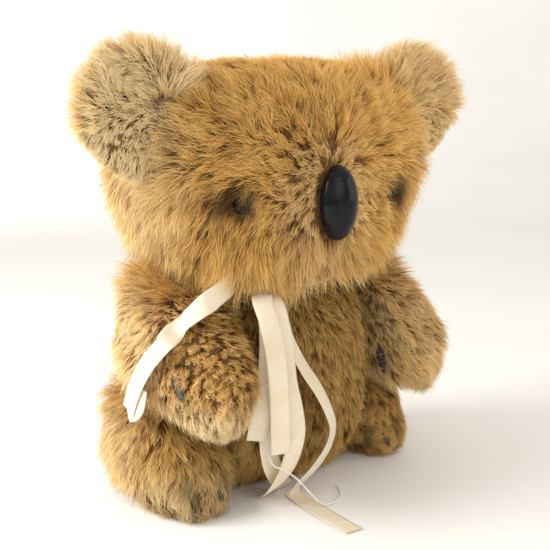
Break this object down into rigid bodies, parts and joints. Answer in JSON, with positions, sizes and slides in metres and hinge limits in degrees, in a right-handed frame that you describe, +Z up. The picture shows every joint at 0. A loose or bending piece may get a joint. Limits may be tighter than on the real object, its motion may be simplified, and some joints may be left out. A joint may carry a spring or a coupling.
{
  "type": "jointed koala toy",
  "caption": "Seated koala soft toy in long fur: head, arms and legs turn on hidden disc joints; glossy nose and eyes, leather claws, satin ribbons tied at its neck.",
  "frame": {"origin": "centre of the flat seat under the torso, on the surface that the toy sits on", "axes": "+Z up, -Y the way the toy faces, +X towards the toy's own left side"},
  "size_m": [0.256, 0.1503, 0.246],
  "materials": {
    "fur": "long golden-brown fur on a thin hide",
    "wadding": "loose cream wadding",
    "hardboard": "plain pressed board",
    "steel": "plain steel",
    "black_plastic": "glossy black",
    "leather": "dark cut leather",
    "satin": "cream satin ribbon",
    "thread": "twisted white thread"
  },
  "bodies": {
    "torso": {"torso_hide": "fur", "torso_wadding": "wadding", "neck_inner_board": "hardboard", "neck_inner_washer": "steel", "neck_split_pin": "steel", "shoulder_left_inner_board": "hardboard", "shoulder_left_inner_washer": "steel", "shoulder_left_split_pin": "steel", "hip_left_inner_board": "hardboard", "hip_left_inner_washer": "steel", "hip_left_split_pin": "steel", "shoulder_right_inner_board": "hardboard", "shoulder_right_inner_washer": "steel", "shoulder_right_split_pin": "steel", "hip_right_inner_board": "hardboard", "hip_right_inner_washer": "steel", "hip_right_split_pin": "steel", "ribbon_collar": "satin", "ribbon_tail_main": "satin", "ribbon_tail_side": "satin", "ribbon_loop": "satin", "ribbon_floor_tail": "satin", "tag_thread": "thread"},
    "head": {"head_hide": "fur", "head_wadding": "wadding", "ear_left": "fur", "ear_right": "fur", "nose": "black_plastic", "nose_lock_washer": "steel", "eye_left": "black_plastic", "eye_left_lock_washer": "steel", "eye_right": "black_plastic", "eye_right_lock_washer": "steel", "neck_outer_board": "hardboard", "neck_outer_washer": "steel"},
    "arm_left": {"arm_left_hide": "fur", "arm_left_wadding": "wadding", "shoulder_left_outer_board": "hardboard", "shoulder_left_outer_washer": "steel", "claw_paw_left_outer": "leather", "claw_paw_left_inner": "leather"},
    "leg_left": {"leg_left_hide": "fur", "leg_left_wadding": "wadding", "hip_left_outer_board": "hardboard", "hip_left_outer_washer": "steel", "claw_foot_left_outer": "leather", "claw_foot_left_inner": "leather"},
    "arm_right": {"arm_right_hide": "fur", "arm_right_wadding": "wadding", "shoulder_right_outer_board": "hardboard", "shoulder_right_outer_washer": "steel", "claw_paw_right_outer": "leather", "claw_paw_right_inner": "leather", "ribbon_over_arm": "satin"},
    "leg_right": {"leg_right_hide": "fur", "leg_right_wadding": "wadding", "hip_right_outer_board": "hardboard", "hip_right_outer_washer": "steel", "claw_foot_right_outer": "leather", "claw_foot_right_inner": "leather"}
  },
  "joints": [
    {"name": "neck", "type": "hinge", "parent": "torso", "child": "head", "pos_m": [0, -0.012, 0.12], "axis": [0, 0, 1], "continuous": true},
    {"name": "shoulder_left", "type": "hinge", "parent": "torso", "child": "arm_left", "pos_m": [0.0463, -0.004, 0.099], "axis": [-1, 0, 0], "range_deg": [-8, 50]},
    {"name": "hip_left", "type": "hinge", "parent": "torso", "child": "leg_left", "pos_m": [0.0463, 0.008, 0.0355], "axis": [-1, 0, 0], "range_deg": [-90, 30]},
    {"name": "shoulder_right", "type": "hinge", "parent": "torso", "child": "arm_right", "pos_m": [-0.0463, -0.004, 0.099], "axis": [-1, 0, 0], "range_deg": [-8, 50]},
    {"name": "hip_right", "type": "hinge", "parent": "torso", "child": "leg_right", "pos_m": [-0.0463, 0.008, 0.0355], "axis": [-1, 0, 0], "range_deg": [-90, 30]}
  ]
}
